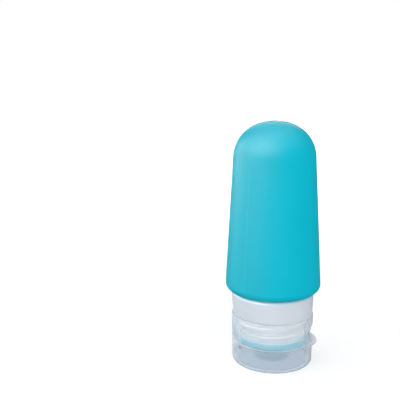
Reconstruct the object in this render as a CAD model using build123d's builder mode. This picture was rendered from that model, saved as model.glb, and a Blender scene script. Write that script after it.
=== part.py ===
from build123d import *
import math
import os

# Travel squeeze bottle, in millimetres. It stands on its closed lid: the origin is the centre of the
# lid's outer face, +Z runs up to the dome, +X points to the thumb tab and -X to the hinge.

# Cap envelope, shared by the lid and the cap base
cap_rim_radius = 20.34
cap_draft = 0.34
cap_height = 24.6
parting_height = 11.5
parting_gap = 0.15

# Lid
lid_plate = 1.4
lid_wall = 1.1
lid_foot_fillet = 1.6
lid_inner_fillet = 0.8
seal_ring_wall = 1.1
seal_ring_height = 2.2
stopper_clearance = 1.2
stopper_fillet = 0.5
tab_reach = 2.2
tab_thickness = 0.9
tab_half_angle = 27.0
tab_edge_fillet = 0.35

# Cap base
deck_step = 1.5
deck_thickness = 1.3
deck_fillet = 0.4
seat_clearance = 0.25
shoulder_height = 3.7
cap_skirt_wall = 1.54
cap_mouth_chamfer = 0.4
rim_fillet = 0.3
nozzle_radius = 8.2
nozzle_gap = 0.9
nozzle_wall = 1.3
nozzle_lip = 1.2
nozzle_fillet = 0.7
orifice_radius = 3.6
nozzle_clearance = 0.3
catch_height = 0.5
catch_depth = 0.15

# Thumb scoop in the cap base
scoop_depth = 1.35
scoop_height = 8.2
scoop_foot_half_width = 15.3
scoop_top_half_width = 7.4

# Hinge
hinge_recess_depth = 0.5
hinge_recess_height = 6.0
base_recess_half_angle = 42.0
lid_recess_half_angle = 47.5
hinge_slit_angle = 2.4
hinge_slit_depth = 1.5
strap_half_angle = 16.0
strap_clearance = 0.05
strap_film = 0.22
strap_groove_height = 1.0
strap_slot_width = 0.9
strap_slot_height = 3.8
strap_slot_offset = 2.7

# Valve and its ring
valve_flange_thickness = 1.4
valve_membrane = 0.6
valve_dish_depth = 0.9
valve_slit_length = 5.2
valve_slit_width = 0.15
valve_fit = 0.05
valve_ring_height = 2.0
valve_ring_clearance = 0.4
valve_ring_chamfer = 0.3

# Collar
thread_room = 1.1
collar_neck_wall = 1.85
collar_neck_chamfer = 0.4
collar_gap = 0.3
collar_inset = 0.49
collar_flare = 0.55
collar_height = 11.3
collar_shoulder_fillet = 1.7
collar_wall = 1.6
collar_floor = 1.6
collar_edge_fillet = 0.3

# Silicone body
body_overhang = 3.04
body_rim_fillet = 3.5
body_taper = 3.57
body_height = 119.9
dome_height = 17.0
body_wall = 2.0
body_gap = 0.4
body_floor_slope = 4.6
body_floor_fillet = 2.5
neck_wall = 2.5
lip_thickness = 2.4
lip_fillet = 0.5
lip_gap = 0.1
neck_fit = 0.05

# A quarter of an ellipse as a Bezier curve has its inner poles at 0.5523 of each half axis. The
# dome's crown is a little flatter than that.
side_pole_share = 0.5523
crown_pole_share = 0.6
overrun = 2.0

# Radii that follow from the sizes above, from the cap's wall inwards and then out to the body
cap_foot_radius = cap_rim_radius - cap_draft
cap_bore_radius = cap_rim_radius - cap_skirt_wall
collar_neck_radius = cap_bore_radius - thread_room
collar_bore_radius = collar_neck_radius - collar_neck_wall
neck_radius = collar_bore_radius - neck_fit
mouth_radius = neck_radius - neck_wall
collar_foot_radius = cap_rim_radius - collar_inset
collar_top_radius = collar_foot_radius + collar_flare
collar_cup_radius = collar_foot_radius - collar_wall
body_rim_radius = collar_top_radius + body_overhang
body_top_radius = body_rim_radius - body_taper
nozzle_bore_radius = nozzle_radius - nozzle_wall
stopper_radius = orifice_radius - stopper_clearance

# Heights that follow from the sizes above
recess_foot = parting_height - hinge_recess_height / 2
recess_top = parting_height + hinge_recess_height / 2
deck_face = parting_height - deck_step
deck_back = deck_face + deck_thickness
nozzle_face = lid_plate + nozzle_gap
nozzle_floor = nozzle_face + nozzle_lip
shoulder_foot = parting_height + parting_gap
shoulder_top = shoulder_foot + shoulder_height
lip_foot = deck_back + lip_gap
lip_top = lip_foot + lip_thickness
collar_foot = cap_height + collar_gap
collar_top = collar_foot + collar_height
body_foot = collar_top + body_gap
dome_foot = body_height - dome_height
wall_foot = body_foot + body_rim_fillet


def cap_radius(height):
    # Outer radius of the drafted cap at a height
    return cap_foot_radius + (cap_rim_radius - cap_foot_radius) * height / cap_height


def body_radius(height):
    # Outer radius of the tapered body wall at a height
    return body_rim_radius - body_taper * (height - wall_foot) / (dome_foot - wall_foot)


def corner(radius, height):
    # The corner of the open profile nearest to a point
    return vertices().sort_by_distance((radius, height))[0]


def radial_plane(azimuth):
    # The plane through the bottle's axis that points outwards at an azimuth in degrees
    turn = math.radians(azimuth)
    outwards = (math.cos(turn), math.sin(turn), 0)
    return Plane(origin=(0, 0, 0), x_dir=outwards, z_dir=(math.sin(turn), -math.cos(turn), 0))


os.makedirs("parts", exist_ok=True)

# Silicone body: a tapered, domed bottle with a thick foot, a neck that fills the collar and a lip
# turned out below the collar's end
root_radius = collar_cup_radius - neck_fit
wall_lean = body_radius(dome_foot) - body_radius(dome_foot + dome_height * side_pole_share)
inner_dome_height = dome_height - body_wall
inner_dome_radius = body_top_radius - body_wall
inner_floor = wall_foot + body_floor_slope / 2

with BuildPart() as silicone_body:
    with BuildSketch(Plane.XZ):
        with BuildLine():
            Polyline(
                (0, body_height - body_wall),
                (0, body_height),
            )
            Bezier(
                (0, body_height),
                (body_top_radius * crown_pole_share, body_height),
                (body_top_radius - wall_lean, dome_foot + dome_height * side_pole_share),
                (body_top_radius, dome_foot),
            )
            Polyline(
                (body_top_radius, dome_foot),
                (body_radius(body_foot), body_foot),
                (root_radius, body_foot),
                (root_radius, collar_foot + collar_floor + neck_fit),
                (neck_radius, collar_foot + collar_floor + neck_fit),
                (neck_radius, lip_top),
                (collar_neck_radius, lip_top),
                (collar_neck_radius, lip_foot),
                (mouth_radius, lip_foot),
                (mouth_radius, inner_floor - body_floor_slope),
                (body_radius(inner_floor) - body_wall, inner_floor),
                (inner_dome_radius, dome_foot),
            )
            Bezier(
                (inner_dome_radius, dome_foot),
                (inner_dome_radius - wall_lean, dome_foot + inner_dome_height * side_pole_share),
                (inner_dome_radius * crown_pole_share, body_height - body_wall),
                (0, body_height - body_wall),
            )
        make_face()
        fillet(corner(body_radius(body_foot), body_foot), body_rim_fillet)
        fillet(corner(body_radius(inner_floor) - body_wall, inner_floor), body_floor_fillet)
        fillet(corner(mouth_radius, inner_floor - body_floor_slope), body_floor_fillet)
        fillet([corner(collar_neck_radius, lip_foot), corner(collar_neck_radius, lip_top)], lip_fillet)
    revolve(axis=Axis.Z)
silicone_body.part.label = "silicone_body"
export_step(silicone_body.part, "parts/silicone_body.step")

# Collar: the threaded neck below a wide band with a rounded shoulder. The band is a cup that the
# thick root of the silicone neck fills.
with BuildPart() as collar:
    with BuildSketch(Plane.XZ):
        with BuildLine():
            Polyline(
                (collar_bore_radius, lip_top + neck_fit),
                (collar_neck_radius, lip_top + neck_fit),
                (collar_neck_radius, collar_foot),
                (collar_foot_radius, collar_foot),
                (collar_top_radius, collar_top),
                (collar_cup_radius, collar_top),
                (collar_cup_radius, collar_foot + collar_floor),
                (collar_bore_radius, collar_foot + collar_floor),
                close=True,
            )
        make_face()
        chamfer(corner(collar_neck_radius, lip_top), collar_neck_chamfer)
        fillet(corner(collar_foot_radius, collar_foot), collar_edge_fillet)
        fillet(corner(collar_top_radius, collar_top), collar_shoulder_fillet)
    revolve(axis=Axis.Z)
collar.part.label = "collar"
export_step(collar.part, "parts/collar.step")

# Hinge recess in the lid: a shallow sunk panel below the parting line, wider than the one in the base,
# with a slit through the wall at each end
with BuildPart() as lid_recess:
    with BuildSketch(radial_plane(180 - lid_recess_half_angle)):
        with BuildLine():
            Polyline(
                (cap_radius(recess_foot) - hinge_recess_depth, recess_foot),
                (cap_rim_radius + overrun, recess_foot),
                (cap_rim_radius + overrun, shoulder_foot),
                (cap_radius(shoulder_foot) - hinge_recess_depth, shoulder_foot),
                close=True,
            )
        make_face()
    revolve(axis=Axis.Z, revolution_arc=2 * lid_recess_half_angle)
    for slit_start in (180 - lid_recess_half_angle, 180 + lid_recess_half_angle - hinge_slit_angle):
        with BuildSketch(radial_plane(slit_start)):
            with BuildLine():
                Polyline(
                    (cap_radius(recess_foot) - hinge_slit_depth, recess_foot),
                    (cap_rim_radius + overrun, recess_foot),
                    (cap_rim_radius + overrun, shoulder_foot),
                    (cap_radius(recess_foot) - hinge_slit_depth, shoulder_foot),
                    close=True,
                )
            make_face()
        revolve(axis=Axis.Z, revolution_arc=hinge_slit_angle)

# Hinge recess in the cap base, above the parting line, with a blind slit at each end
with BuildPart() as base_recess:
    with BuildSketch(radial_plane(180 - base_recess_half_angle)):
        with BuildLine():
            Polyline(
                (cap_radius(parting_height) - hinge_recess_depth, parting_height),
                (cap_rim_radius + overrun, parting_height),
                (cap_rim_radius + overrun, recess_top),
                (cap_radius(recess_top) - hinge_recess_depth, recess_top),
                close=True,
            )
        make_face()
    revolve(axis=Axis.Z, revolution_arc=2 * base_recess_half_angle)
    for slit_start in (180 - base_recess_half_angle, 180 + base_recess_half_angle - hinge_slit_angle):
        with BuildSketch(radial_plane(slit_start)):
            with BuildLine():
                Polyline(
                    (cap_radius(recess_top) - hinge_slit_depth, parting_height),
                    (cap_rim_radius + overrun, parting_height),
                    (cap_rim_radius + overrun, recess_top),
                    (cap_radius(recess_top) - hinge_slit_depth, recess_top),
                    close=True,
                )
            make_face()
        revolve(axis=Axis.Z, revolution_arc=hinge_slit_angle)

# Thumb scoop: a hollow above the tab that rises from the parting line in an arc and runs out of the
# wall at its top, between slanted sides
scoop_foot_radius = cap_radius(shoulder_foot) - scoop_depth
scoop_rise = cap_radius(shoulder_foot + scoop_height) - scoop_foot_radius
scoop_arc_radius = (scoop_height**2 + scoop_rise**2) / (2 * scoop_rise)
scoop_end = scoop_height + overrun
scoop_end_radius = scoop_foot_radius + scoop_arc_radius - math.sqrt(scoop_arc_radius**2 - scoop_end**2)
scoop_side_slope = (scoop_foot_half_width - scoop_top_half_width) / scoop_height

with BuildPart() as thumb_scoop:
    with BuildSketch(Plane.XZ):
        with BuildLine():
            TangentArc(
                (scoop_foot_radius, shoulder_foot),
                (scoop_end_radius, shoulder_foot + scoop_end),
                tangent=(0, 1),
            )
            Polyline(
                (scoop_end_radius, shoulder_foot + scoop_end),
                (cap_rim_radius + overrun, shoulder_foot + scoop_end),
                (cap_rim_radius + overrun, shoulder_foot - overrun),
                (scoop_foot_radius, shoulder_foot - overrun),
                (scoop_foot_radius, shoulder_foot),
            )
        make_face()
    revolve(axis=Axis.Z)
    with BuildSketch(Plane.YZ):
        with BuildLine():
            Polyline(
                (-scoop_foot_half_width - scoop_side_slope * overrun, shoulder_foot - overrun),
                (scoop_foot_half_width + scoop_side_slope * overrun, shoulder_foot - overrun),
                (scoop_foot_half_width - scoop_side_slope * scoop_end, shoulder_foot + scoop_end),
                (-scoop_foot_half_width + scoop_side_slope * scoop_end, shoulder_foot + scoop_end),
                close=True,
            )
        make_face()
    extrude(amount=cap_rim_radius + 2 * overrun, mode=Mode.INTERSECT)

# Cap base: drafted skirt over the collar's neck, a deck raised into the lid, and the nozzle boss
seat_radius = cap_radius(parting_height) - lid_wall - seat_clearance

with BuildPart() as cap_base:
    with BuildSketch(Plane.XZ):
        with BuildLine():
            Polyline(
                (cap_radius(shoulder_foot), shoulder_foot),
                (cap_rim_radius, cap_height),
                (cap_bore_radius, cap_height),
                (cap_bore_radius, shoulder_top),
                (collar_neck_radius + 2 * lip_gap, shoulder_top),
                (collar_neck_radius + 2 * lip_gap, deck_back),
                (nozzle_bore_radius, deck_back),
                (nozzle_bore_radius, nozzle_floor),
                (orifice_radius, nozzle_floor),
                (orifice_radius, nozzle_face),
                (nozzle_radius, nozzle_face),
                (nozzle_radius, deck_face),
                (seat_radius, deck_face),
                (seat_radius, shoulder_foot),
                close=True,
            )
        make_face()
        fillet(corner(cap_rim_radius, cap_height), rim_fillet)
        chamfer(corner(cap_bore_radius, cap_height), cap_mouth_chamfer)
        fillet(corner(nozzle_radius, nozzle_face), nozzle_fillet)
        fillet(corner(nozzle_radius, deck_face), nozzle_fillet)
        fillet(corner(seat_radius, deck_face), deck_fillet)
    revolve(axis=Axis.Z)
    # Catch bead that snaps over the valve ring
    with BuildSketch(Plane.XZ):
        catch_foot = nozzle_floor + valve_flange_thickness + valve_ring_height + 3 * valve_fit
        with BuildLine():
            Polyline(
                (nozzle_bore_radius, catch_foot),
                (nozzle_bore_radius - catch_depth, catch_foot + catch_height / 2),
                (nozzle_bore_radius, catch_foot + catch_height),
                (nozzle_bore_radius + catch_depth, catch_foot + catch_height / 2),
                close=True,
            )
        make_face()
    revolve(axis=Axis.Z)
    add(thumb_scoop.part, mode=Mode.SUBTRACT)
    add(base_recess.part, mode=Mode.SUBTRACT)
cap_base.part.label = "cap_base"
export_step(cap_base.part, "parts/cap_base.step")

# Lid: a shallow cup with a crescent thumb tab on its rim, a seal ring round the nozzle and a stopper
# pin that stands in the nozzle's opening
seal_inner_radius = nozzle_radius + nozzle_clearance
stopper_top = nozzle_floor - nozzle_lip / 4
rim_outer_radius = cap_radius(parting_height)
tab_tip = rim_outer_radius + tab_reach
tab_side_x = rim_outer_radius * math.cos(math.radians(tab_half_angle))
tab_side_y = rim_outer_radius * math.sin(math.radians(tab_half_angle))
tab_center = (tab_tip**2 - tab_side_x**2 - tab_side_y**2) / (2 * (tab_tip - tab_side_x))

with BuildPart() as lid:
    with BuildSketch(Plane.XZ):
        with BuildLine():
            Polyline(
                (0, 0),
                (cap_foot_radius, 0),
                (rim_outer_radius, parting_height),
                (rim_outer_radius - lid_wall, parting_height),
                (cap_radius(lid_plate) - lid_wall, lid_plate),
                (seal_inner_radius + seal_ring_wall, lid_plate),
                (seal_inner_radius + seal_ring_wall, lid_plate + seal_ring_height),
                (seal_inner_radius, lid_plate + seal_ring_height),
                (seal_inner_radius, lid_plate),
                (stopper_radius, lid_plate),
                (stopper_radius, stopper_top),
                (0, stopper_top),
                close=True,
            )
        make_face()
        fillet(corner(cap_foot_radius, 0), lid_foot_fillet)
        fillet(corner(cap_radius(lid_plate) - lid_wall, lid_plate), lid_inner_fillet)
        fillet(corner(stopper_radius, stopper_top), stopper_fillet)
    revolve(axis=Axis.Z)
    with BuildSketch(Plane.XY.offset(parting_height - tab_thickness)) as tab_sketch:
        with Locations((tab_center, 0)):
            Circle(tab_tip - tab_center)
        Circle(rim_outer_radius - lid_wall / 2, mode=Mode.SUBTRACT)
    extrude(amount=tab_thickness)
    tab_edges = edges().filter_by(GeomType.CIRCLE).sort_by(Axis.X)[-2:]
    fillet(tab_edges, tab_edge_fillet)
    add(lid_recess.part, mode=Mode.SUBTRACT)
lid.part.label = "lid"
export_step(lid.part, "parts/lid.step")

# Living hinge: a strap flush with the cap's wall, thinned to a film on the parting line and slotted
# into three legs
strap_foot = recess_foot + strap_clearance
strap_top = recess_top - strap_clearance
strap_inner_foot = cap_radius(strap_foot) - hinge_recess_depth + strap_clearance
strap_inner_top = cap_radius(strap_top) - hinge_recess_depth + strap_clearance
strap_thickness = hinge_recess_depth - strap_clearance
groove_depth = (strap_thickness - strap_film) / 2
groove_foot = parting_height - strap_groove_height / 2
groove_top = parting_height + strap_groove_height / 2

with BuildPart() as living_hinge:
    with BuildSketch(radial_plane(180 - strap_half_angle)):
        with BuildLine():
            Polyline(
                (strap_inner_foot, strap_foot),
                (cap_radius(strap_foot), strap_foot),
                (cap_radius(groove_foot), groove_foot),
                (cap_radius(parting_height) - groove_depth, parting_height),
                (cap_radius(groove_top), groove_top),
                (cap_radius(strap_top), strap_top),
                (strap_inner_top, strap_top),
                (cap_radius(groove_top) - strap_thickness, groove_top),
                (cap_radius(parting_height) - strap_thickness + groove_depth, parting_height),
                (cap_radius(groove_foot) - strap_thickness, groove_foot),
                close=True,
            )
        make_face()
    revolve(axis=Axis.Z, revolution_arc=2 * strap_half_angle)
    with BuildSketch(Plane.YZ.offset(-cap_rim_radius - overrun)):
        with Locations((-strap_slot_offset, parting_height), (strap_slot_offset, parting_height)):
            SlotOverall(strap_slot_height, strap_slot_width, rotation=90)
    extrude(amount=overrun + cap_rim_radius / 2, mode=Mode.SUBTRACT)
living_hinge.part.label = "living_hinge"
export_step(living_hinge.part, "parts/living_hinge.step")

# Valve: a soft flange with a dished membrane that a cross slit divides
flange_radius = nozzle_bore_radius - valve_fit
valve_foot = nozzle_floor + valve_fit
valve_top = valve_foot + valve_flange_thickness
dish_radius = orifice_radius + valve_membrane
ring_inner_radius = dish_radius + valve_ring_clearance

with BuildPart() as valve:
    with BuildSketch(Plane.XZ):
        with BuildLine():
            Polyline(
                (0, valve_foot + valve_dish_depth + valve_membrane),
                (0, valve_foot + valve_dish_depth),
            )
            SagittaArc(
                (0, valve_foot + valve_dish_depth),
                (orifice_radius, valve_foot),
                valve_dish_depth / 4,
            )
            Polyline(
                (orifice_radius, valve_foot),
                (flange_radius, valve_foot),
                (flange_radius, valve_top),
                (dish_radius, valve_top),
                (dish_radius, valve_foot + valve_membrane),
            )
            SagittaArc(
                (dish_radius, valve_foot + valve_membrane),
                (0, valve_foot + valve_dish_depth + valve_membrane),
                -valve_dish_depth / 4,
            )
        make_face()
    revolve(axis=Axis.Z)
    with BuildSketch(Plane.XY.offset(nozzle_face)):
        Rectangle(valve_slit_length, valve_slit_width)
        Rectangle(valve_slit_width, valve_slit_length)
    extrude(amount=deck_face - nozzle_face, mode=Mode.SUBTRACT)
valve.part.label = "valve"
export_step(valve.part, "parts/valve.step")

# Valve ring: holds the valve's flange in the nozzle
ring_foot = valve_top + valve_fit

with BuildPart() as valve_ring:
    with BuildSketch(Plane.XZ):
        with Locations(((ring_inner_radius + flange_radius) / 2, ring_foot + valve_ring_height / 2)):
            Rectangle(flange_radius - ring_inner_radius, valve_ring_height)
        chamfer(corner(flange_radius, ring_foot + valve_ring_height), valve_ring_chamfer)
        chamfer(corner(ring_inner_radius, ring_foot + valve_ring_height), valve_ring_chamfer)
    revolve(axis=Axis.Z)
valve_ring.part.label = "valve_ring"
export_step(valve_ring.part, "parts/valve_ring.step")
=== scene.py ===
import math
import bmesh
import bpy
from mathutils import Matrix, Vector

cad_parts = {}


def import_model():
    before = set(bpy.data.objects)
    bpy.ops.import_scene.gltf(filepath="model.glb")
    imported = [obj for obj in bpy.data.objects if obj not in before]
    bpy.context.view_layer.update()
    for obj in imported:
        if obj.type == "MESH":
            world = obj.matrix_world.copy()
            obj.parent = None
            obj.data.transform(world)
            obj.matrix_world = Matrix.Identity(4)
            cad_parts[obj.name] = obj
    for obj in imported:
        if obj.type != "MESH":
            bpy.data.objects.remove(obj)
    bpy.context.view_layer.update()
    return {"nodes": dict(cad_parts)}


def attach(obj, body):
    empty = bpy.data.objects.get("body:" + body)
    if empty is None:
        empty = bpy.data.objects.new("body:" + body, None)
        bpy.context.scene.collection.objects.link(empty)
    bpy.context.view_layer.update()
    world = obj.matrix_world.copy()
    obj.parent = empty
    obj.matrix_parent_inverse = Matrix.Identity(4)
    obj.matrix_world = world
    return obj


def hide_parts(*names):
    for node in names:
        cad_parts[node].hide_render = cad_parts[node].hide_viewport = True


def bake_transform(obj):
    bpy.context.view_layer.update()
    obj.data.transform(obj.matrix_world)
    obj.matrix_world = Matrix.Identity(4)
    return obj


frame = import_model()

mm = 0.001
scene = bpy.context.scene


# Node trees

class Wire:
    # Holds one socket of a tree. Maths on it adds the nodes, and add() makes any other node.
    def __init__(self, tree, socket=None):
        self.tree = tree
        self.socket = socket

    def add(self, kind, settings=None, values=None, out=0):
        node = self.tree.nodes.new(kind)
        for name, value in (settings or {}).items():
            setattr(node, name, value)
        for name, value in (values or {}).items():
            if isinstance(value, Wire):
                self.tree.links.new(value.socket, node.inputs[name])
            else:
                node.inputs[name].default_value = value
        return Wire(self.tree, node.outputs[out])

    def math(self, operation, first, second=0.0):
        return self.add("ShaderNodeMath", {"operation": operation}, {0: first, 1: second})

    def __add__(self, other):
        return self.math("ADD", self, other)

    def __radd__(self, other):
        return self.math("ADD", other, self)

    def __sub__(self, other):
        return self.math("SUBTRACT", self, other)

    def __rsub__(self, other):
        return self.math("SUBTRACT", other, self)

    def __mul__(self, other):
        return self.math("MULTIPLY", self, other)

    def __rmul__(self, other):
        return self.math("MULTIPLY", other, self)

    def __truediv__(self, other):
        return self.math("DIVIDE", self, other)

    def __pow__(self, other):
        return self.math("POWER", self, other)

    def atMost(self, other):
        return self.math("MINIMUM", self, other)

    def atLeast(self, other):
        return self.math("MAXIMUM", self, other)

    def sine(self):
        return self.math("SINE", self)

    def cosine(self):
        return self.math("COSINE", self)

    def rounded(self):
        return self.math("ROUND", self)

    def positive(self):
        return self.math("ABSOLUTE", self)

    def root(self):
        return self.math("SQRT", self.atLeast(0.0))

    def eased(self, low, high):
        # Rises smoothly from 0 to 1 between two limits
        return self.add("ShaderNodeMapRange", {"interpolation_type": "SMOOTHSTEP"},
                        {"Value": self, "From Min": low, "From Max": high})

    def above(self, limit, soft):
        return self.eased(limit - soft, limit + soft)

    def past(self, zone):
        # Rises from 0 to 1 across a zone, given in mm as its middle and its half width
        middle, half = zone
        return self.above(middle * mm, half * mm)

    def part(self, axis):
        return self.add("ShaderNodeSeparateXYZ", None, {"Vector": self}, axis)


# Points closer than this are one point, and a full turn is in radians
joinDistance = 0.002 * mm
fullTurn = 2 * math.pi


def newShapeTree(name, inputs):
    # A Geometry Nodes tree with named inputs, and its inputs as wires
    tree = bpy.data.node_groups.new(name, "GeometryNodeTree")
    tree.interface.new_socket("Profile", in_out="INPUT", socket_type="NodeSocketGeometry")
    for label, kind in inputs:
        tree.interface.new_socket(label, in_out="INPUT", socket_type="NodeSocket" + kind)
    tree.interface.new_socket("Shape", in_out="OUTPUT", socket_type="NodeSocketGeometry")
    entry = tree.nodes.new("NodeGroupInput")
    wires = {socket.name: Wire(tree, socket) for socket in entry.outputs if socket.name}
    return Wire(tree), wires


def endShapeTree(start, shape, material):
    shape = start.add("GeometryNodeMergeByDistance", None,
                      {"Geometry": shape, "Distance": joinDistance})
    shape = start.add("GeometryNodeSetShadeSmooth", None, {"Geometry": shape})
    shape = start.add("GeometryNodeRealizeInstances", None, {"Geometry": shape})
    shape = start.add("GeometryNodeSetMaterial", None, {"Geometry": shape, "Material": material})
    last = start.tree.nodes.new("NodeGroupOutput")
    start.tree.links.new(shape.socket, last.inputs["Shape"])
    return start.tree


def shapeFrom(name, tree, values, points=(), edges=(), marks=None):
    # Runs a tree on a line of points and keeps the result as a plain mesh. Marks are numbers on the
    # points that a tree's rules read.
    source = bpy.data.meshes.new(name + "Line")
    source.from_pydata(points, edges, [])
    for label, numbers in (marks or {}).items():
        source.attributes.new(label, "FLOAT", "POINT").data.foreach_set("value", numbers)
    carrier = bpy.data.objects.new(name + "Carrier", source)
    scene.collection.objects.link(carrier)
    modifier = carrier.modifiers.new("shape", "NODES")
    modifier.node_group = tree
    for item in tree.interface.items_tree:
        if item.in_out == "INPUT" and item.name in values:
            modifier[item.identifier] = values[item.name]
    bpy.context.view_layer.update()
    depsgraph = bpy.context.evaluated_depsgraph_get()
    mesh = bpy.data.meshes.new_from_object(carrier.evaluated_get(depsgraph), depsgraph=depsgraph)
    mesh.name = name
    carrier.modifiers.clear()
    bpy.data.objects.remove(carrier)
    bpy.data.meshes.remove(source)
    piece = bpy.data.objects.new(name, mesh)
    scene.collection.objects.link(piece)
    return piece


def gridPoints(start, across, along):
    # A flat grid with this many points each way, to be wrapped into a shape
    return start.add("GeometryNodeMeshGrid", None,
                     {"Size X": 1.0, "Size Y": 1.0, "Vertices X": across, "Vertices Y": along})


def placedRound(start, sheet, radius, turn, height):
    # Moves each point to its radius, turn and height about the Z axis
    spot = start.add("ShaderNodeCombineXYZ", None,
                     {"X": radius * turn.cosine(), "Y": radius * turn.sine(), "Z": height})
    return start.add("GeometryNodeSetPosition", None, {"Geometry": sheet, "Position": spot})


def turnedTree(name, rule=None, inputs=()):
    # Turns the profile's points about the Z axis: X is the radius and Z the height. A rule may move
    # each point by its turn, and reads the marks of its row.
    start, put = newShapeTree(name, [("Segments", "Int"), ("Material", "Material"), *inputs])
    rows = start.add("GeometryNodeAttributeDomainSize", {"component": "MESH"},
                     {"Geometry": put["Profile"]})
    sheet = gridPoints(start, put["Segments"] + 1, rows)
    place = start.add("GeometryNodeInputPosition")
    turn = (place.part("X") + 0.5) * fullTurn
    row = ((place.part("Y") + 0.5) * (rows - 1)).rounded()
    point = start.add("GeometryNodeSampleIndex", {"data_type": "FLOAT_VECTOR", "domain": "POINT"},
                      {"Geometry": put["Profile"], "Value": place, "Index": row})
    radius = point.part("X")
    height = point.part("Z")

    def mark(label):
        number = start.add("GeometryNodeInputNamedAttribute", {"data_type": "FLOAT"}, {"Name": label})
        return start.add("GeometryNodeSampleIndex", {"data_type": "FLOAT", "domain": "POINT"},
                         {"Geometry": put["Profile"], "Value": number, "Index": row})

    if rule:
        radius, height = rule(put, mark, turn, radius, height)
    return endShapeTree(start, placedRound(start, sheet, radius, turn, height), put["Material"])


hingeInputs = [("Recess Half Angle", "Float"), ("Recess Depth", "Float"), ("Slit Angle", "Float")]

# How gradually the recess begins: radians round the axis, and metres of height
recessSoftness = {"turn": 0.004, "height": 0.06 * mm}


def hingeMasks(put, turn):
    # Where the hinge recess is, and the slits at its two ends
    soft = recessSoftness["turn"]
    fromHinge = (turn - math.pi).positive()
    inside = (put["Recess Half Angle"] - fromHinge).above(0.0, soft)
    slits = inside - (put["Recess Half Angle"] - put["Slit Angle"] - fromHinge).above(0.0, soft)
    return inside, slits


def baseRule(put, mark, turn, radius, height):
    # Cap base: the hinge recess with blind slits, and a thumb scoop that hollows the wall over the tab
    inside, slits = hingeMasks(put, turn)
    wall = mark("wall")
    below = (put["Recess Top"] - height).above(0.0, recessSoftness["height"]) * wall
    sunk = radius - below * (inside * put["Recess Depth"] + slits * put["Slit Depth"])
    rise = height - put["Scoop Foot"]
    arc = put["Scoop Arc Radius"]
    hollow = put["Scoop Foot Radius"] + arc - (arc * arc - rise * rise).root()
    edge = put["Scoop Half Width"] - rise * put["Scoop Side Slope"] - (radius * turn.sine()).positive()
    tabSide = turn.cosine().eased(0.0, 0.1)
    share = edge.eased(0.0, put["Scoop Softness"]) * tabSide * wall
    return sunk - (sunk - hollow).atLeast(0.0) * share, height


def lidRule(put, mark, turn, radius, height):
    # Lid: the hinge recess with slits down from the rim, and a crescent tab drawn out of the rim
    inside, slits = hingeMasks(put, turn)
    rise = height - put["Recess Foot"]
    above = rise.above(0.0, recessSoftness["height"]) * mark("wall")
    sunk = radius - above * inside * put["Recess Depth"]
    lowered = height - slits * mark("rim") * rise.atLeast(0.0)
    side = put["Tab Centre"] * turn.sine()
    reach = (put["Tab Radius"] * put["Tab Radius"] - side * side).root()
    tab = put["Tab Centre"] * turn.cosine() + reach
    return sunk.atLeast((tab - mark("inset")) * mark("tab")), lowered


# A ridge of the thread: the points round it, the power that shapes its crown (1 is half round, 0 is
# square), and the share of its width that is left at its ends
ridgeShape = {"points": 17, "crown": 0.7, "endWidth": 0.5}


def threadTree():
    # A rounded ridge that climbs round the axis and fades out at both ends
    start, put = newShapeTree("screwThread", [
        ("Root Radius", "Float"), ("Ridge Height", "Float"), ("Sink", "Float"), ("Half Width", "Float"),
        ("Pitch", "Float"), ("Turns", "Float"), ("Foot", "Float"), ("Start Angle", "Float"),
        ("Fade Turns", "Float"), ("Steps", "Int"), ("Material", "Material")])
    sheet = gridPoints(start, put["Steps"], ridgeShape["points"])
    place = start.add("GeometryNodeInputPosition")
    around = (place.part("Y") + 0.5) * fullTurn
    turned = (place.part("X") + 0.5) * put["Turns"]
    fade = turned.eased(0.0, put["Fade Turns"]) * (put["Turns"] - turned).eased(0.0, put["Fade Turns"])
    out = around.cosine()
    lift = out.atLeast(0.0) ** ridgeShape["crown"] * put["Ridge Height"] + out.atMost(0.0) * put["Sink"]
    radius = put["Root Radius"] + lift * fade
    turn = put["Start Angle"] + turned * fullTurn
    width = fade * (1.0 - ridgeShape["endWidth"]) + ridgeShape["endWidth"]
    height = put["Foot"] + turned * put["Pitch"] + around.sine() * put["Half Width"] * width
    return endShapeTree(start, placedRound(start, sheet, radius, turn, height), put["Material"])


def ribTree():
    # A ring of small upright ribs
    start, put = newShapeTree("ribRing", [
        ("Count", "Int"), ("Ring Radius", "Float"), ("Height", "Float"), ("Half Size", "Vector"),
        ("Material", "Material")])
    ring = start.add("GeometryNodeMeshCircle", None,
                     {"Vertices": put["Count"], "Radius": put["Ring Radius"]})
    lift = start.add("ShaderNodeCombineXYZ", None, {"Z": put["Height"]})
    ring = start.add("GeometryNodeSetPosition", None, {"Geometry": ring, "Offset": lift})
    bead = start.add("GeometryNodeMeshIcoSphere", None, {"Radius": 1.0, "Subdivisions": 1})
    turn = start.add("GeometryNodeInputIndex") * fullTurn / put["Count"]
    facing = start.add("ShaderNodeCombineXYZ", None, {"Z": turn})
    ribs = start.add("GeometryNodeInstanceOnPoints", None, {
        "Points": ring, "Instance": bead, "Rotation": facing, "Scale": put["Half Size"]})
    ribs = start.add("GeometryNodeRealizeInstances", None, {"Geometry": ribs})
    return endShapeTree(start, ribs, put["Material"])


# Outlines

# The pair of points beside a fillet: their distance as a share of its radius, and at most, in mm
holdPoints = {"share": 0.15, "most": 0.05}


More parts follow.
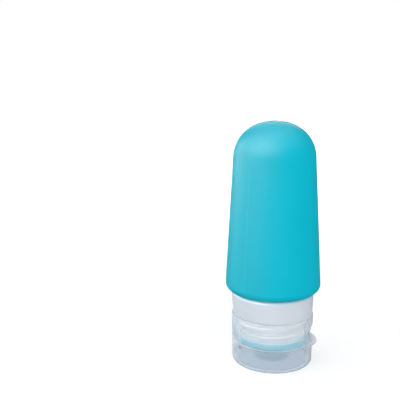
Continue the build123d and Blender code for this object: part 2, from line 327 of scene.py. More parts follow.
def rounded(points, steps=6):
    # An outline of (radius, height, fillet) points in mm, with an arc of each fillet's radius at its
    # corner and a close pair of points beside it, which keeps the flats flat when shaded
    line = []
    for index, (x, z, fillet) in enumerate(points):
        if fillet == 0 or index in (0, len(points) - 1):
            line.append((x, z))
            continue
        here = Vector((x, z))
        back = (Vector(points[index - 1][:2]) - here).normalized()
        ahead = (Vector(points[index + 1][:2]) - here).normalized()
        half = back.angle(ahead) / 2
        reach = fillet / math.tan(half)
        centre = here + (back + ahead).normalized() * fillet / math.sin(half)
        first = here + back * reach
        last = here + ahead * reach
        hold = min(holdPoints["share"] * fillet, holdPoints["most"])
        line.append(tuple(first + back * hold))
        startAngle = math.atan2(*(first - centre).yx)
        sweep = (math.atan2(*(last - centre).yx) - startAngle + math.pi) % fullTurn - math.pi
        for step in range(steps + 1):
            angle = startAngle + sweep * step / steps
            line.append(tuple(centre + Vector((math.cos(angle), math.sin(angle))) * fillet))
        line.append(tuple(last + ahead * hold))
    return line


def bezier(poles, steps):
    line = []
    for step in range(steps + 1):
        t = step / steps
        weights = ((1 - t) ** 3, 3 * t * (1 - t) ** 2, 3 * t * t * (1 - t), t ** 3)
        line.append((sum(w * p[0] for w, p in zip(weights, poles)),
                     sum(w * p[1] for w, p in zip(weights, poles))))
    return line


def withRows(outline, step, radii):
    # Adds points to the outline's long runs between two radii, so that a rule can shape them
    low, high = radii
    line = [outline[0]]
    for (x, z), (nextX, nextZ) in zip(outline, outline[1:]):
        inReach = low < min(x, nextX) <= max(x, nextX) < high
        parts = math.ceil(math.hypot(nextX - x, nextZ - z) / step) if inReach else 1
        for part in range(1, parts + 1):
            line.append((x + (nextX - x) * part / parts, z + (nextZ - z) * part / parts))
    return line


def turnedPiece(name, outline, segments, material, tree=None, values=None, marks=None):
    points = [(x * mm, 0, z * mm) for x, z in outline]
    edges = [(index, index + 1) for index in range(len(points) - 1)]
    inputs = {"Segments": segments, "Material": material, **(values or {})}
    return shapeFrom(name, tree or turned, inputs, points, edges, marks)


# Finishes

def newFinish(name):
    material = bpy.data.materials.new(name)
    material.use_nodes = True
    material.node_tree.nodes.clear()
    return material, Wire(material.node_tree)


def closeFinish(start, shader):
    last = start.tree.nodes.new("ShaderNodeOutputMaterial")
    start.tree.links.new(shader.socket, last.inputs["Surface"])


def mixedColour(start, factor, first, second):
    return start.add("ShaderNodeMix", {"data_type": "RGBA"},
                     {"Factor": factor, 6: first, 7: second}, 2)


def noise(start, place, scale, detail=2.0):
    return start.add("ShaderNodeTexNoise", None, {"Vector": place, "Scale": scale, "Detail": detail})


# In each finish below, a zone is a height or a radius in mm with the half width of its soft edge, and a
# pair called a range is where a value starts and ends its rise

tealLook = {
    "body": (0.0, 0.53, 0.695, 1), "bodyCloud": (0.0, 0.55, 0.715, 1),
    # Painted shade under the rim
    "underside": (0.0, 0.36, 0.52, 1), "undersideZone": (36.9, 0.25),
    # Painted light on the lip, where the cap shades it
    "lip": (0.0, 0.70, 0.87, 1), "lipZone": (14.5, 0.2),
    "seam": (0.20, 0.66, 0.80, 1), "seamAngle": -117.0, "seamCore": 0.05, "seamReach": 0.22,
    "seamShare": 0.13,
    "lint": (0.62, 0.80, 0.88, 1), "lintScale": 95.0, "lintRange": (0.012, 0.022),
    "lintCloudRange": (0.5, 0.56), "lintShare": 0.5,
    "cloudScale": 60.0, "grainScale": 2600.0, "grainShare": 0.4, "bumpStrength": 0.2,
    "bumpHeight": 0.05, "roughness": 0.44, "cloudRoughness": 0.06,
}


def tealSilicone():
    t = tealLook
    material, start = newFinish("tealSilicone")
    place = start.add("ShaderNodeTexCoord", None, None, "Object")
    cloud = noise(start, place, t["cloudScale"], detail=3.0)
    grain = noise(start, place, t["grainScale"])
    height = place.part("Z")
    colour = mixedColour(start, cloud, t["body"], t["bodyCloud"])
    # Painted shade on the rim's underside and on all below it
    colour = mixedColour(start, height.past(t["undersideZone"]), t["underside"], colour)
    # Painted light on the lip, brighter against the shade of the cap round it
    colour = mixedColour(start, height.past(t["lipZone"]), t["lip"], colour)
    # The mould seam is a fine raised line, all the way round on one plane
    split = math.radians(t["seamAngle"])
    fromSeam = (place.part("X") * math.sin(split) - place.part("Y") * math.cos(split)).positive()
    seam = 1.0 - fromSeam.eased(t["seamCore"] * mm, t["seamReach"] * mm)
    # Specks of lint, where the cloud is thick
    specks = start.add("ShaderNodeTexVoronoi", {"feature": "F1"},
                       {"Vector": place, "Scale": t["lintScale"]}, "Distance")
    lint = (1.0 - specks.eased(*t["lintRange"])) * cloud.eased(*t["lintCloudRange"])
    colour = mixedColour(start, t["seamShare"] * seam, colour, t["seam"])
    colour = mixedColour(start, t["lintShare"] * lint, colour, t["lint"])
    bump = start.add("ShaderNodeBump", None, {
        "Height": t["grainShare"] * grain + seam, "Strength": t["bumpStrength"],
        "Distance": t["bumpHeight"] * mm})
    shader = start.add("ShaderNodeBsdfPrincipled", None, {
        "Base Color": colour, "Roughness": t["roughness"] + cloud * t["cloudRoughness"], "Normal": bump,
        "IOR": 1.42, "Specular IOR Level": 0.1})
    closeFinish(start, shader)
    return material


# The white of the collar, its neck and the valve ring
whiteLook = {
    "collar": (0.75, 0.81, 0.90, 1), "collarCloud": (0.78, 0.835, 0.92, 1),
    # The collar's top and the neck's foot are painted teal light from the silicone beside them
    "collarTop": (0.50, 0.78, 0.87, 1), "collarTopZone": (35.0, 0.8),
    # The neck is painted lighter, a painted light against the shade of the cap over it
    "neck": (0.93, 0.94, 0.955, 1), "neckZone": (24.85, 0.02),
    "neckFoot": (0.72, 0.89, 0.94, 1), "neckFootZone": (16.9, 0.7),
    "cloudScale": 45.0, "grainScale": 1900.0, "bumpStrength": 0.1, "bumpHeight": 0.02,
    "roughness": 0.42, "cloudRoughness": 0.05, "scatter": 0.1, "scatterDepth": 1.0,
}


def satinWhite():
    t = whiteLook
    material, start = newFinish("satinWhite")
    place = start.add("ShaderNodeTexCoord", None, None, "Object")
    cloud = noise(start, place, t["cloudScale"])
    grain = noise(start, place, t["grainScale"])
    height = place.part("Z")
    # Painted teal light at its two ends, from the silicone above and below it
    collar = mixedColour(start, cloud, t["collar"], t["collarCloud"])
    collar = mixedColour(start, height.past(t["collarTopZone"]), collar, t["collarTop"])
    neck = mixedColour(start, height.past(t["neckFootZone"]), t["neckFoot"], t["neck"])
    # Painted light on the neck, below the collar
    colour = mixedColour(start, height.past(t["neckZone"]), neck, collar)
    bump = start.add("ShaderNodeBump", None, {
        "Height": grain, "Strength": t["bumpStrength"], "Distance": t["bumpHeight"] * mm})
    shader = start.add("ShaderNodeBsdfPrincipled", None, {
        "Base Color": colour, "Roughness": t["roughness"] + cloud * t["cloudRoughness"], "Normal": bump,
        "IOR": 1.49, "Specular IOR Level": 0.35, "Subsurface Weight": t["scatter"],
        "Subsurface Radius": (1.0, 1.0, 1.0), "Subsurface Scale": t["scatterDepth"] * mm})
    closeFinish(start, shader)
    return material


# The cap, the lid and their hinge. A veil is how much of what is behind the plastic it hides.
frostedLook = {
    # The lid's darker colour is painted shade, for the light that the cap and the body keep from it
    "cap": (0.80, 0.88, 0.96, 1), "lid": (0.635, 0.755, 0.865, 1), "partingZone": (11.5, 0.1),
    "cloud": (1, 1, 1, 1), "cloudShare": 0.1,
    # The deck's teal is painted light from the lip, and the middle's dark is painted shade
    "deck": (0.32, 0.70, 0.82, 1), "deckRadiusZone": (18.9, 0.05), "deckFootZone": (9.95, 0.02),
    "deckTopZone": (11.6, 0.05),
    "middle": (0.11, 0.34, 0.53, 1), "middleZone": (9.9, 0.1),
    "tab": (0.76, 0.78, 0.87, 1), "tabZone": (20.6, 0.2), "skinZone": (19.5, 0.2),
    # The lid's pale edge is a painted sheen, and its dark foot is painted shade
    "lidSide": (0.98, 0.96, 0.97, 1), "lidSideZone": (2.0, 0.6), "lidSideRange": (0.35, 0.85),
    "lidFoot": (0.30, 0.42, 0.55, 1), "lidFootZone": (1.0, 0.6), "lidFootShare": 0.8,
    "veil": 0.24, "edgeVeil": 0.45, "edgeVeilRange": (0.35, 0.9), "tabVeil": 0.25, "lightShare": 0.75,
    "cloudScale": 70.0, "grainScale": 2200.0, "bumpStrength": 0.1, "bumpHeight": 0.02,
    "roughness": 0.38, "cloudRoughness": 0.05,
}


def frostedPlastic():
    t = frostedLook
    material, start = newFinish("frostedPlastic")
    place = start.add("ShaderNodeTexCoord", None, None, "Object")
    cloud = noise(start, place, t["cloudScale"])
    grain = noise(start, place, t["grainScale"])
    across = place.part("X")
    along = place.part("Y")
    height = place.part("Z")
    radius = (across * across + along * along).root()
    edge = start.add("ShaderNodeLayerWeight", None, {"Blend": 0.5}, "Facing")
    inCap = height.past(t["partingZone"])
    skin = radius.past(t["skinZone"])
    tab = radius.past(t["tabZone"])
    # Painted shade darkens the lid below the parting
    colour = mixedColour(start, inCap, t["lid"], t["cap"])
    colour = mixedColour(start, t["cloudShare"] * cloud, colour, t["cloud"])
    # The deck is painted with teal light from the lip behind it, and all that is near the axis with
    # painted shade for the dark of the nozzle's bore
    deck = (1.0 - radius.past(t["deckRadiusZone"])) * height.past(t["deckFootZone"])
    colour = mixedColour(start, deck * (1.0 - height.past(t["deckTopZone"])), colour, t["deck"])
    colour = mixedColour(start, radius.past(t["middleZone"]), t["middle"], colour)
    colour = mixedColour(start, tab, colour, t["tab"])
    # Painted light on the lid where its wall is seen edge on, and painted shade round its foot
    lidSide = edge.eased(*t["lidSideRange"]) * (height.past(t["lidSideZone"]) * (1.0 - inCap))
    colour = mixedColour(start, lidSide, colour, t["lidSide"])
    foot = skin * (1.0 - height.past(t["lidFootZone"]))
    colour = mixedColour(start, t["lidFootShare"] * foot, colour, t["lidFoot"])
    # Light that enters the wall is scattered on, not lost, so it hides less from light than from sight
    edgeVeil = edge.eased(*t["edgeVeilRange"]) * t["edgeVeil"]
    veil = skin * (edgeVeil + tab * t["tabVeil"]) + t["veil"]
    shadow = start.add("ShaderNodeLightPath", None, None, "Is Shadow Ray")
    bounce = start.add("ShaderNodeLightPath", None, None, "Is Diffuse Ray")
    light = (shadow + bounce).atMost(1.0)
    bump = start.add("ShaderNodeBump", None, {
        "Height": grain, "Strength": t["bumpStrength"], "Distance": t["bumpHeight"] * mm})
    shader = start.add("ShaderNodeBsdfPrincipled", None, {
        "Base Color": colour, "Roughness": t["roughness"] + cloud * t["cloudRoughness"], "Normal": bump,
        "IOR": 1.49, "Specular IOR Level": 0.4, "Alpha": veil * (1.0 - light * t["lightShare"])})
    closeFinish(start, shader)
    return material


# The same plastic in the fine ribs, where it stands thick against the light
ribLook = {
    "rib": (0.84, 0.93, 0.97, 1), "ribCloud": (0.88, 0.96, 0.99, 1), "cloudScale": 70.0,
    "roughness": 0.4, "cloudRoughness": 0.05, "veil": 0.6,
}


def ribPlastic():
    t = ribLook
    material, start = newFinish("ribPlastic")
    place = start.add("ShaderNodeTexCoord", None, None, "Object")
    cloud = noise(start, place, t["cloudScale"])
    shader = start.add("ShaderNodeBsdfPrincipled", None, {
        "Base Color": mixedColour(start, cloud, t["rib"], t["ribCloud"]),
        "Roughness": t["roughness"] + cloud * t["cloudRoughness"], "IOR": 1.49, "Alpha": t["veil"]})
    closeFinish(start, shader)
    return material


# The valve's grey is painted shade, darker than the clear silicone, for the dark inside the nozzle
valveShadeLook = {
    "valve": (0.58, 0.66, 0.71, 1), "valveCloud": (0.64, 0.71, 0.75, 1), "cloudScale": 300.0,
    "roughness": 0.4, "cloudRoughness": 0.1, "scatter": 0.3, "scatterDepth": 1.0,
}


def clearSilicone():
    t = valveShadeLook
    material, start = newFinish("clearSilicone")
    place = start.add("ShaderNodeTexCoord", None, None, "Object")
    cloud = noise(start, place, t["cloudScale"])
    shader = start.add("ShaderNodeBsdfPrincipled", None, {
        "Base Color": mixedColour(start, cloud, t["valve"], t["valveCloud"]),
        "Roughness": t["roughness"] + cloud * t["cloudRoughness"], "IOR": 1.41,
        "Subsurface Weight": t["scatter"], "Subsurface Radius": (1.0, 1.0, 1.0),
        "Subsurface Scale": t["scatterDepth"] * mm})
    closeFinish(start, shader)
    return material


teal = tealSilicone()
white = satinWhite()
frosted = frostedPlastic()
ribbed = ribPlastic()
softClear = clearSilicone()
turned = turnedTree("turned")
baseTurned = turnedTree("capBaseTurned", baseRule, hingeInputs + [
    ("Recess Top", "Float"), ("Slit Depth", "Float"), ("Scoop Foot", "Float"),
    ("Scoop Foot Radius", "Float"), ("Scoop Arc Radius", "Float"), ("Scoop Half Width", "Float"),
    ("Scoop Side Slope", "Float"), ("Scoop Softness", "Float")])
lidTurned = turnedTree("lidTurned", lidRule, hingeInputs + [
    ("Recess Foot", "Float"), ("Tab Centre", "Float"), ("Tab Radius", "Float")])
thread = threadTree()
ribs = ribTree()
print("finishes and shape trees made")


# Sizes are in mm and angles in degrees. Heights are measured up from the closed lid's flat face.

# Silicone body

bodySizes = {
    "height": 119.9, "domeHeight": 17.0, "topRadius": 19.87, "rimRadius": 23.44, "rimFillet": 3.5,
    "foot": 36.6, "wall": 2.0, "rootRadius": 18.2, "rootFoot": 26.55, "rootFillet": 0.3,
    "neckRadius": 15.8, "neckFillet": 0.2, "lipRadius": 17.7, "lipFoot": 11.4, "lipTop": 13.8,
    "lipFillet": 0.5, "mouthRadius": 13.3, "mouthFillet": 0.3, "floorSlope": 4.6, "floorFillet": 2.5,
    "sideShare": 0.5523, "crownShare": 0.6, "segments": 256, "domeSteps": 40, "innerDomeSteps": 24,
    "filletSteps": 8,
}


def bodyWall(height):
    s = bodySizes
    wallFoot = s["foot"] + s["rimFillet"]
    share = (height - wallFoot) / (s["height"] - s["domeHeight"] - wallFoot)
    return s["rimRadius"] + (s["topRadius"] - s["rimRadius"]) * share


def domeLine(drop, inset, steps):
    # The dome from its crown down to its foot. The inner dome has the wall as its drop and its inset.
    s = bodySizes
    foot = s["height"] - s["domeHeight"]
    top = s["height"] - drop
    rise = (top - foot) * s["sideShare"]
    lean = bodyWall(foot) - bodyWall(foot + s["domeHeight"] * s["sideShare"])
    radius = s["topRadius"] - inset
    poles = [(0, top), (radius * s["crownShare"], top), (radius - lean, foot + rise), (radius, foot)]
    return bezier(poles, steps)


def siliconeBody():
    s = bodySizes
    domeFoot = s["height"] - s["domeHeight"]
    innerFloor = s["foot"] + s["rimFillet"] + s["floorSlope"] / 2
    outer = domeLine(0, 0, s["domeSteps"])
    walls = rounded([
        (s["topRadius"], domeFoot, 0),
        (bodyWall(s["foot"]), s["foot"], s["rimFillet"]),
        (s["rootRadius"], s["foot"], 0),
        (s["rootRadius"], s["rootFoot"], s["rootFillet"]),
        (s["neckRadius"], s["rootFoot"], s["rootFillet"]),
        (s["neckRadius"], s["lipTop"], s["neckFillet"]),
        (s["lipRadius"], s["lipTop"], s["lipFillet"]),
        (s["lipRadius"], s["lipFoot"], s["lipFillet"]),
        (s["mouthRadius"], s["lipFoot"], s["mouthFillet"]),
        (s["mouthRadius"], innerFloor - s["floorSlope"], s["floorFillet"]),
        (bodyWall(innerFloor) - s["wall"], innerFloor, s["floorFillet"]),
        (s["topRadius"] - s["wall"], domeFoot, 0),
    ], s["filletSteps"])
    inner = domeLine(s["wall"], s["wall"], s["innerDomeSteps"])[::-1]
    body = turnedPiece("siliconeBody", outer[:-1] + walls + inner[1:], s["segments"], teal)
    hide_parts("silicone_body")
    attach(body, "bottle")


siliconeBody()
print("body made")


# Collar

collarSizes = {
    "neckRadius": 17.7, "neckFoot": 13.85, "neckFillet": 0.4, "foot": 24.9, "footRadius": 19.85,
    "footFillet": 0.3, "top": 36.2, "topRadius": 20.4, "shoulderFillet": 1.7, "wall": 1.6, "floor": 1.6,
    "innerFillet": 0.2, "bore": 15.85, "boreFillet": 0.15, "segments": 256, "filletSteps": 10,
}

# The neck's thread, and the cap's where a name says so. Pitch, fade, sink and steps are for both.
threadSizes = {
    "height": 0.35, "halfWidth": 0.9, "turns": 1.25, "foot": 16.7, "startAngle": -114.0,
    "capRoot": 18.8, "capHeight": 0.25, "capHalfWidth": 0.6, "capTurns": 0.95, "capFoot": 15.85,
    "capStartAngle": -8.0, "pitch": 4.2, "fadeTurns": 0.05, "sink": 0.3, "steps": 320,
}

# Fine ribs in the cap's bore, and in the narrower bore round the silicone lip. Half sizes are out,
# round and up.
ribSizes = {
    "boreCount": 112, "boreHeight": 20.5, "boreHalf": (0.16, 0.2, 0.8),
    "seatCount": 92, "seatRadius": 17.9, "seatHeight": 13.4, "seatHalf": (0.16, 0.22, 0.9),
}


def collarRing():
    s = collarSizes
    innerFloor = s["foot"] + s["floor"]
    outline = rounded([
        (s["bore"], innerFloor, 0),
        (s["bore"], s["neckFoot"], s["boreFillet"]),
        (s["neckRadius"], s["neckFoot"], s["neckFillet"]),
        (s["neckRadius"], s["foot"], s["boreFillet"]),
        (s["footRadius"], s["foot"], s["footFillet"]),
        (s["topRadius"], s["top"], s["shoulderFillet"]),
        (s["footRadius"] - s["wall"], s["top"], s["innerFillet"]),
        (s["footRadius"] - s["wall"], innerFloor, s["innerFillet"]),
        (s["bore"], innerFloor, 0),
    ], s["filletSteps"])
    ring = turnedPiece("collarRing", outline[::-1], s["segments"], white)
    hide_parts("collar")
    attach(ring, "bottle")


def threadRidge(name, root, height, halfWidth, turns, foot, startAngle, material):
    # Thread on the outside of a neck, or on the inside of a cap where height and halfWidth are negative
    s = threadSizes
    return shapeFrom(name, thread, {
        "Root Radius": root * mm, "Ridge Height": height * mm, "Half Width": halfWidth * mm,
        "Sink": math.copysign(s["sink"], height) * mm, "Pitch": s["pitch"] * mm, "Turns": turns,
        "Foot": foot * mm, "Start Angle": math.radians(startAngle), "Fade Turns": s["fadeTurns"],
        "Steps": s["steps"], "Material": material})


def neckThread():
    s = threadSizes
    ridge = threadRidge("neckThread", collarSizes["neckRadius"], s["height"], s["halfWidth"],
                        s["turns"], s["foot"], s["startAngle"], white)
    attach(ridge, "bottle")


collarRing()
neckThread()
print("collar made")


# Cap, lid and hinge

def dressNode(node, material):
    # Gives a CAD node its finish
    piece = frame["nodes"][node]
    piece.data.materials.clear()
    piece.data.materials.append(material)


# What the cap base and the lid share. Rows a margin either side of the recess's end keep its edge
# sharp, and a point within the tolerance of the outer wall belongs to it.
capSizes = {
    "footRadius": 20.0, "rimRadius": 20.34, "height": 24.6, "parting": 11.5, "shoulderFoot": 11.65,
    "recessDepth": 0.5, "recessReach": 3.0, "slitAngle": 2.4, "segments": 512, "rowStep": 0.45,
    "rowMargin": 0.1, "wallTolerance": 0.01,
}

baseSizes = {
    "rimFillet": 0.3, "bore": 18.8, "boreFillet": 0.4, "startDrop": 1, "shoulderTop": 15.35,
    "partingFillet": 0.1, "lipBore": 17.9, "deckBack": 11.3, "innerFillet": 0.2, "nozzleBore": 6.9,
    "nozzleFloor": 3.5, "nozzleInnerFillet": 0.15, "orifice": 3.6, "orificeFillet": 0.2,
    "nozzleFace": 2.3, "nozzleRadius": 8.2, "nozzleFillet": 0.7, "deckFace": 10.0, "deckFillet": 0.4,
    "seat": 18.81, "recessHalfAngle": 42.0, "slitDepth": 1.0, "scoopDepth": 1.35, "scoopHeight": 8.2,
    "scoopFootHalf": 15.3, "scoopTopHalf": 7.4, "scoopSoftness": 1.4, "rowRadii": (20.0, 20.5),
}

lidSizes = {
    "plate": 1.4, "wall": 1.1, "footFillet": 1.6, "innerFillet": 0.8, "rimFillet": 0.1, "rimEdge": 0.05,
    "sealInner": 8.5, "sealOuter": 9.6, "sealHeight": 2.2, "sealFillet": 0.25, "cornerFillet": 0.2,
    "pinRadius": 2.4, "pinTop": 3.2, "pinFillet": 0.5, "recessHalfAngle": 47.5, "tabTip": 22.36,
    "tabHalfAngle": 27.0, "tabThickness": 0.9, "tabEdge": 0.35, "tabSteps": 3, "filletSteps": 8,
    "rowRadii": (20.0, 20.3), "markBelow": 1, "markInside": 0.3,
}


def capWall(height):
    s = capSizes
    return s["footRadius"] + (s["rimRadius"] - s["footRadius"]) * height / s["height"]


def hingeValues(halfAngle):
    s = capSizes
    return {"Recess Half Angle": math.radians(halfAngle), "Recess Depth": s["recessDepth"] * mm,
            "Slit Angle": math.radians(s["slitAngle"])}


def recessRows(height):
    # Two points on the outer wall, close above and below the recess's end
    margin = capSizes["rowMargin"]
    return [(capWall(end), end, 0) for end in (height + margin, height - margin)]


def capBase():
    c = capSizes
    s = baseSizes
    recessTop = c["parting"] + c["recessReach"]
    startHeight = c["height"] - s["startDrop"]  # The outline starts and ends on the plain bore
    outline = withRows(rounded([
        (s["bore"], startHeight, 0),
        (s["bore"], c["height"], s["boreFillet"]),
        (c["rimRadius"], c["height"], s["rimFillet"]),
        *recessRows(recessTop),
        (capWall(c["shoulderFoot"]), c["shoulderFoot"], s["partingFillet"]),
        (s["seat"], c["shoulderFoot"], s["partingFillet"]),
        (s["seat"], s["deckFace"], s["deckFillet"]),
        (s["nozzleRadius"], s["deckFace"], s["nozzleFillet"]),
        (s["nozzleRadius"], s["nozzleFace"], s["nozzleFillet"]),
        (s["orifice"], s["nozzleFace"], s["orificeFillet"]),
        (s["orifice"], s["nozzleFloor"], s["nozzleInnerFillet"]),
        (s["nozzleBore"], s["nozzleFloor"], s["nozzleInnerFillet"]),
        (s["nozzleBore"], s["deckBack"], s["innerFillet"]),
        (s["lipBore"], s["deckBack"], s["innerFillet"]),
        (s["lipBore"], s["shoulderTop"], s["innerFillet"]),
        (s["bore"], s["shoulderTop"], s["innerFillet"]),
        (s["bore"], startHeight, 0),
    ]), c["rowStep"], s["rowRadii"])
    rise = s["scoopHeight"]
    footRadius = capWall(c["shoulderFoot"]) - s["scoopDepth"]
    run = capWall(c["shoulderFoot"] + rise) - footRadius
    values = {
        **hingeValues(s["recessHalfAngle"]), "Recess Top": recessTop * mm,
        "Slit Depth": s["slitDepth"] * mm, "Scoop Foot": c["shoulderFoot"] * mm,
        "Scoop Foot Radius": footRadius * mm,
        "Scoop Arc Radius": (rise ** 2 + run ** 2) / (2 * run) * mm,
        "Scoop Half Width": s["scoopFootHalf"] * mm,
        "Scoop Side Slope": (s["scoopFootHalf"] - s["scoopTopHalf"]) / rise,
        "Scoop Softness": s["scoopSoftness"] * mm}
    wall = [1.0 if x > capWall(z) - c["wallTolerance"] else 0.0 for x, z in outline]
    base = turnedPiece("capBase", outline, c["segments"], frosted, baseTurned, values, {"wall": wall})
    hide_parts("cap_base")
    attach(base, "cap")


def flipLid():
    c = capSizes
    s = lidSizes
    recessFoot = c["parting"] - c["recessReach"]
    rim = capWall(c["parting"])
    inside = rounded([
        (0, s["pinTop"], 0),
        (s["pinRadius"], s["pinTop"], s["pinFillet"]),
        (s["pinRadius"], s["plate"], s["cornerFillet"]),
        (s["sealInner"], s["plate"], s["cornerFillet"]),
        (s["sealInner"], s["plate"] + s["sealHeight"], s["sealFillet"]),
        (s["sealOuter"], s["plate"] + s["sealHeight"], s["sealFillet"]),
        (s["sealOuter"], s["plate"], s["cornerFillet"]),
        (capWall(s["plate"]) - s["wall"], s["plate"], s["innerFillet"]),
        (capWall(recessFoot) - s["wall"], recessFoot, 0),
        (rim - s["wall"], c["parting"], s["rimFillet"]),
        (rim - s["rimEdge"], c["parting"], 0),
    ])
    # The tab's rows, each with its inset from the tab's outline: over its upper edge, then its lower
    tabFoot = c["parting"] - s["tabThickness"]
    tabRows = []
    for step in range(s["tabSteps"] + 1):
        angle = math.pi / 2 * step / s["tabSteps"]
        tabRows.append((s["tabEdge"] * (1 - math.sin(angle)), s["tabEdge"] * (1 - math.cos(angle))))
    insets = [inset for inset, drop in tabRows]
    upper = [(rim, c["parting"] - drop) for inset, drop in tabRows]
    lower = [(rim, tabFoot + drop) for inset, drop in tabRows[::-1]]
    outside = withRows(rounded([
        (capWall(tabFoot), tabFoot, 0),
        *recessRows(recessFoot),
        (c["footRadius"], 0, s["footFillet"]),
        (0, 0, 0),
    ], s["filletSteps"]), c["rowStep"], s["rowRadii"])
    # Marks say which rows are the tab's, with their insets, which the outer wall's and which the rim's
    outline = inside + upper + lower + outside
    before = [0.0] * len(inside)
    after = [0.0] * len(outside)
    tab = before + [1.0] * 2 * len(insets) + after
    inset = before + [value * mm for value in insets + insets[::-1]] + after
    wallFoot = recessFoot - s["markBelow"]
    wall = before + [1.0 if z > wallFoot else 0.0 for x, z in outline[len(inside):]]
    rimStart = rim - s["wall"] - s["markInside"]
    rimRows = [1.0 if x > rimStart and z > wallFoot else 0.0 for x, z in outline]
    # The tab's edge is an arc through its tip and both ends of the tab on the rim
    tip = s["tabTip"]
    sideX = rim * math.cos(math.radians(s["tabHalfAngle"]))
    centre = (tip ** 2 - rim ** 2) / (2 * (tip - sideX))
    values = {**hingeValues(s["recessHalfAngle"]), "Recess Foot": recessFoot * mm,
              "Tab Centre": centre * mm, "Tab Radius": (tip - centre) * mm}
    cover = turnedPiece("flipLid", outline, c["segments"], frosted, lidTurned, values,
                        {"wall": wall, "rim": rimRows, "tab": tab, "inset": inset})
    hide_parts("lid")
    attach(cover, "lid")


# The pivot is this far from the axis, opposite the tab. The rows cover the 0.5 mm each way from the
# film's middle over which the strap bends.
strapSizes = {"pivotRadius": 19.934, "rowsEachWay": 5, "rowStep": 0.1, "joinDistance": 0.001}


def hingeStrap():
    # The CAD strap, merged and cut into rows near its film, where the strap bends
    s = strapSizes
    middle = capSizes["parting"] * mm
    rows = s["rowsEachWay"]
    work = bmesh.new()
    work.from_mesh(frame["nodes"]["living_hinge"].data)
    bmesh.ops.remove_doubles(work, verts=work.verts, dist=s["joinDistance"] * mm)
    for row in range(-rows, rows + 1):
        bmesh.ops.bisect_plane(work, geom=work.verts[:] + work.edges[:] + work.faces[:],
                               plane_co=(0, 0, middle + row * s["rowStep"] * mm), plane_no=(0, 0, 1))
    mesh = bpy.data.meshes.new("hingeStrap")
    work.to_mesh(mesh)
    work.free()
    mesh.materials.append(frosted)
    strap = bpy.data.objects.new("hingeStrap", mesh)
    scene.collection.objects.link(strap)
    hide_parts("living_hinge")
    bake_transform(strap)


def ribRing(name, count, radius, height, halfSize):
    return shapeFrom(name, ribs, {
        "Count": count, "Ring Radius": radius * mm, "Height": height * mm,
        "Half Size": [size * mm for size in halfSize], "Material": ribbed})


def capDetail():
    s = threadSizes
    r = ribSizes
    pieces = [
        threadRidge("capThread", s["capRoot"], -s["capHeight"], -s["capHalfWidth"], s["capTurns"],
                    s["capFoot"], s["capStartAngle"], frosted),
        ribRing("boreRibs", r["boreCount"], s["capRoot"], r["boreHeight"], r["boreHalf"]),
        ribRing("seatRibs", r["seatCount"], r["seatRadius"], r["seatHeight"], r["seatHalf"]),
    ]
    for piece in pieces:
        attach(piece, "cap")


capBase()
capDetail()
print("cap base made")
flipLid()
print("lid made")
hingeStrap()
dressNode("valve", softClear)
dressNode("valve_ring", white)
print("cap made")


# Floor, light and camera

# The floor's shade takes the lamps' light and the shadow, and its glow keeps it white. Where the floor
# is seen through the plastic both are painted: a painted shadow under the bottle, paler beside it and
# painted darker further away. Mirrored is what reflections see of it.
floorLook = {
    "halfSize": 3.0, "mirrored": (0.08, 0.08, 0.08, 1),
    "shade": (0.64, 0.64, 0.64, 1), "glow": (1, 1, 1, 1),
    "shadeUnder": (0.21, 0.32, 0.44, 1), "shadeBeside": (0.42, 0.48, 0.54, 1),
    "glowUnder": (0.15, 0.31, 0.52, 1), "glowBeside": (0.85, 0.88, 0.92, 1),
    "glowAway": (0.40, 0.50, 0.62, 1), "besideZone": (22.0, 2.0), "awayZone": (38.0, 5.0),
    "fullVeils": 1.7, "nearGlow": 0.55, "glowGrowth": 0.45, "growthRange": (0.1, 0.7),
}


def floorFinish():
    t = floorLook
    material, start = newFinish("paleFloor")
    seen = start.add("ShaderNodeLightPath", None, None, "Is Camera Ray")
    glossy = start.add("ShaderNodeLightPath", None, None, "Is Glossy Ray")
    through = start.add("ShaderNodeLightPath", None, None, "Is Transmission Ray")
    veils = start.add("ShaderNodeLightPath", None, None, "Transparent Depth")
    behind = veils.eased(0.0, t["fullVeils"])
    place = start.add("ShaderNodeTexCoord", None, None, "Object")
    reach = start.add("ShaderNodeVectorMath", {"operation": "LENGTH"}, {0: place}, "Value")
    beside = reach.past(t["besideZone"])
    shade = mixedColour(start, beside, t["shadeUnder"], t["shadeBeside"])
    shade = mixedColour(start, behind, t["shade"], shade)
    tone = mixedColour(start, reach.past(t["awayZone"]), t["glowBeside"], t["glowAway"])
    tone = mixedColour(start, beside, t["glowUnder"], tone)
    tone = mixedColour(start, behind, t["glow"], tone)
    # The glow grows with the distance in metres, so that the far floor meets the white background
    growth = reach.eased(*t["growthRange"]) * t["glowGrowth"] + t["nearGlow"]
    lit = start.add("ShaderNodeBsdfDiffuse", None, {"Color": shade})
    glow = start.add("ShaderNodeEmission", None, {
        "Color": tone, "Strength": (seen + through).atMost(1.0) * growth})
    both = start.add("ShaderNodeAddShader", None, {0: lit, 1: glow})
    mirrored = start.add("ShaderNodeBsdfDiffuse", None, {"Color": t["mirrored"]})
    closeFinish(start, start.add("ShaderNodeMixShader", None, {0: glossy, 1: both, 2: mirrored}))
    return material


def floor():
    half = floorLook["halfSize"]
    corners = [(-half, -half, 0), (half, -half, 0), (half, half, 0), (-half, half, 0)]
    mesh = bpy.data.meshes.new("floor")
    mesh.from_pydata(corners, [], [(0, 1, 2, 3)])
    mesh.materials.append(floorFinish())
    plane = bpy.data.objects.new("floor", mesh)
    scene.collection.objects.link(plane)


# How bright the world is to the eye, to matt faces and in reflections
worldLevels = {"seen": 1.0, "matt": 0.43, "mirrored": 0.0}


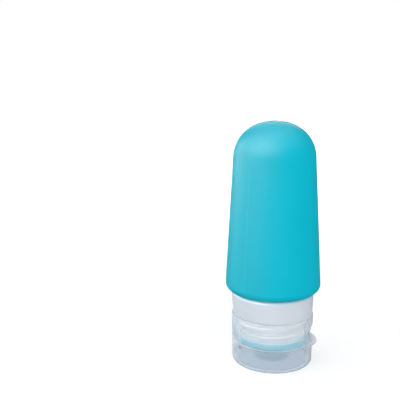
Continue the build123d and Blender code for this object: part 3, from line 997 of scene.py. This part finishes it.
def world():
    w = worldLevels
    sky = bpy.data.worlds.new("studio")
    sky.use_nodes = True
    sky.node_tree.nodes.clear()
    start = Wire(sky.node_tree)
    seen = start.add("ShaderNodeLightPath", None, None, "Is Camera Ray")
    glossy = start.add("ShaderNodeLightPath", None, None, "Is Glossy Ray")
    through = start.add("ShaderNodeLightPath", None, None, "Is Transmission Ray")
    bright = (seen + through).atMost(1.0)
    level = bright * (w["seen"] - w["matt"]) + glossy * (w["mirrored"] - w["matt"]) + w["matt"]
    glow = start.add("ShaderNodeBackground", None, {"Color": (1, 1, 1, 1), "Strength": level})
    last = sky.node_tree.nodes.new("ShaderNodeOutputWorld")
    sky.node_tree.links.new(glow.socket, last.inputs["Surface"])
    sky.cycles.sampling_method = "NONE"
    scene.world = sky


# Each lamp's place and width in metres and its power in watts. Soft lamps light the finishes' own
# colours, and sheen lamps show only as reflections. All of them aim at the bottle's middle.
lampAim = (0, 0, 0.06)

softLamps = {
    "keyLamp": ((-0.60, -0.50, 0.34), 0.5, 1.4),
    "fillLamp": ((0.50, -0.60, 0.35), 0.6, 2.9),
    "topLamp": ((-0.15, -0.10, 0.85), 0.6, 0.7),
    "rimLamp": ((-0.75, 0.25, 0.25), 0.6, 2.2),
}

sheenLamps = {
    "backSheen": ((-0.72, 0.10, 0.20), 0.7, 14.8),
    "middleSheen": ((-0.55, -0.50, 0.22), 0.7, 12.6),
    "highSheen": ((-0.40, -0.25, 0.62), 0.7, 17.1),
    "crownSheen": ((-0.10, 0.12, 0.85), 0.8, 6.0),
    "overSheen": ((0.30, -0.05, 0.78), 0.9, 8.0),
    "behindSheen": ((-0.10, 0.65, 0.45), 0.6, 2.4),
    "topSheen": ((-0.05, -0.45, 0.72), 0.9, 11.9),
    "faceSheen": ((-0.05, -0.62, 0.53), 0.7, 20.2),
    "slantSheen": ((-0.42, -0.50, 0.46), 0.6, 14.9),
}


def addLamps(lamps, diffuse, glossy):
    for name, (place, width, power) in lamps.items():
        data = bpy.data.lights.new(name, "AREA")
        data.shape = "DISK"
        data.size = width
        data.energy = power
        data.cycles.use_multiple_importance_sampling = False
        lamp = bpy.data.objects.new(name, data)
        lamp.visible_diffuse = diffuse
        lamp.visible_glossy = glossy
        lamp.location = place
        lamp.rotation_euler = (Vector(lampAim) - Vector(place)).to_track_quat("-Z", "Y").to_euler()
        scene.collection.objects.link(lamp)


# The camera's place, lens and sensor are in mm. Its heading is from the X axis, and it looks down by
# the dip.
cameraSizes = {
    "place": (35.35, -287.9, 133.5), "heading": 104.13, "dip": 10.21, "roll": 0.39, "lens": 54.0,
    "sensor": 36.0, "nearest": 10.0,
}


def camera():
    s = cameraSizes
    heading = math.radians(s["heading"])
    dip = math.radians(s["dip"])
    roll = math.radians(s["roll"])
    level = math.cos(dip)
    ahead = Vector((math.cos(heading) * level, math.sin(heading) * level, -math.sin(dip)))
    right = Vector((math.sin(heading), -math.cos(heading), 0))
    up = right.cross(ahead)
    side = right * math.cos(roll) - up * math.sin(roll)
    top = right * math.sin(roll) + up * math.cos(roll)
    data = bpy.data.cameras.new("camera")
    data.lens = s["lens"]
    data.sensor_width = s["sensor"]
    data.clip_start = s["nearest"] * mm
    eye = bpy.data.objects.new("camera", data)
    turn = Matrix((side, top, -ahead)).transposed().to_4x4()
    eye.matrix_world = Matrix.Translation(Vector(s["place"]) * mm) @ turn
    scene.collection.objects.link(eye)
    scene.camera = eye


floor()
world()
addLamps(softLamps, diffuse=True, glossy=False)
addLamps(sheenLamps, diffuse=False, glossy=True)
camera()
scene.view_settings.view_transform = "Standard"
scene.cycles.transparent_max_bounces = 32  # Enough for every wall of plastic in a row
print("stage made")
